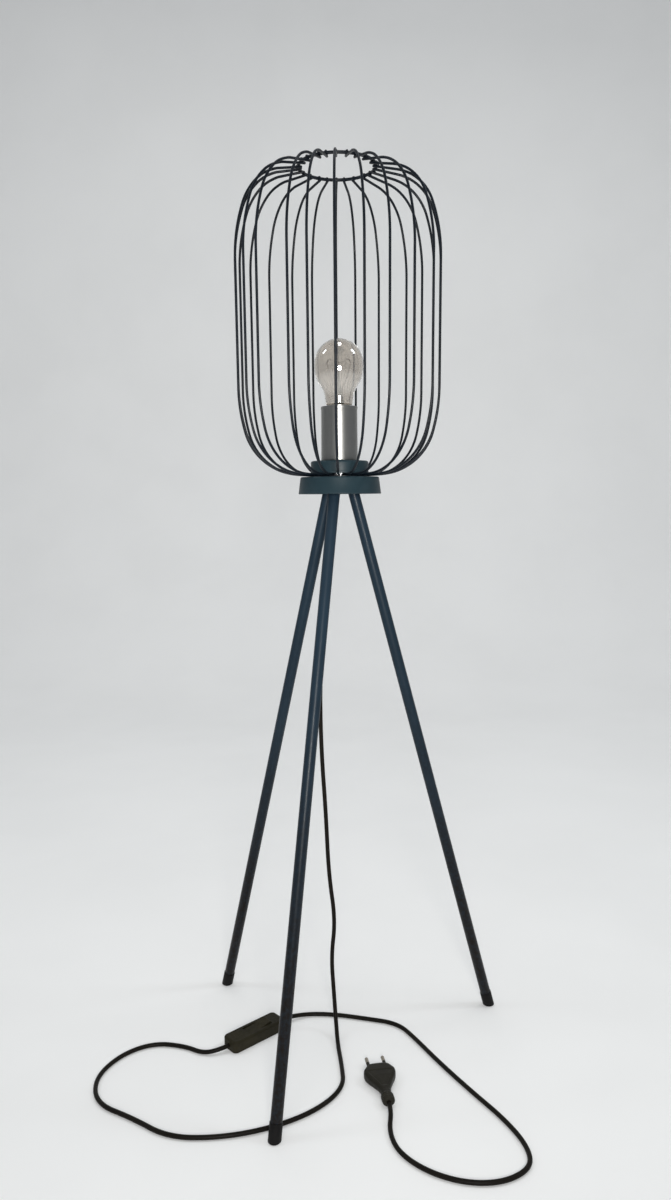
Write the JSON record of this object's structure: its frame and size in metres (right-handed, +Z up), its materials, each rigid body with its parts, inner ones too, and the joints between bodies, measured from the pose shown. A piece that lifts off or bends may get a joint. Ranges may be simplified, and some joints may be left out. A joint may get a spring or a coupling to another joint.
{
  "type": "floor lamp",
  "caption": "Black wire cage floor lamp on a steel tube tripod, with a lightly smoked glass bulb in a metal lampholder, a corded rocker switch and a flat mains plug.",
  "frame": {"origin": "on the lamp's upright axis, at the level of the floor under its three feet", "axes": "+Z up along the lamp's axis, -Y towards the viewer of the front, +X to that viewer's right"},
  "size_m": [0.4696, 0.3734, 1.0041],
  "materials": {
    "black_paint": "satin black powder coat",
    "black_rubber": "matt",
    "zinc_steel": "zinc plated",
    "nickel": "brushed nickel",
    "brass": "plain",
    "porcelain": "glazed porcelain",
    "black_plastic": "moulded",
    "nylon": "moulded",
    "cord_sheath": "smooth sheath",
    "brown_core": "insulation",
    "blue_core": "insulation",
    "switch_plastic": "moulded",
    "pin_nickel": "nickel plated",
    "smoked_glass": "clear",
    "bulb_cap": "plain",
    "tungsten": "wire"
  },
  "bodies": {
    "stand": {"cage_cap": "black_paint", "cage_hub": "black_paint", "cage_wires": "black_paint", "centre_contact": "brass", "cord_bushing": "nylon", "cord_grip": "nylon", "cord_grip_screw": "zinc_steel", "cord_lamp": "cord_sheath", "cord_plug": "cord_sheath", "core_live": "brown_core", "core_neutral": "blue_core", "foot_cap_front": "black_rubber", "foot_cap_left": "black_rubber", "foot_cap_right": "black_rubber", "head_cup": "black_paint", "holder_base": "black_plastic", "holder_core": "porcelain", "holder_skirt": "black_plastic", "holder_terminals": "brass", "hub_washer": "zinc_steel", "leg_bracket": "zinc_steel", "leg_front": "black_paint", "leg_inserts": "zinc_steel", "leg_left": "black_paint", "leg_right": "black_paint", "leg_studs": "zinc_steel", "nipple": "zinc_steel", "nipple_nuts": "zinc_steel", "plug_body": "switch_plastic", "plug_pins": "pin_nickel", "plug_sleeves": "switch_plastic", "rocker_pin": "zinc_steel", "screw_shell": "brass", "socket_cover": "nickel", "switch_base": "switch_plastic", "switch_clamps": "brass", "switch_contacts": "brass", "switch_screws": "zinc_steel", "switch_top": "switch_plastic", "terminal_screws": "zinc_steel", "top_ring": "black_paint"},
    "bulb": {"bulb_glass": "smoked_glass", "bulb_cap": "bulb_cap", "bulb_insulator": "black_plastic", "bulb_contact": "zinc_steel", "bulb_stem": "smoked_glass", "bulb_filament": "tungsten"},
    "rocker": {"switch_rocker": "switch_plastic"}
  },
  "joints": [
    {"name": "bulb_out", "type": "slide", "parent": "stand", "child": "bulb", "axis": [0, 0, 1], "range_m": [0, 0.29]},
    {"name": "rocker_tilt", "type": "hinge", "parent": "stand", "child": "rocker", "pos_m": [-0.10465, -0.0018, 0.0105], "axis": [-0.6756, 0.7373, 0], "range_deg": [0, 15]}
  ]
}
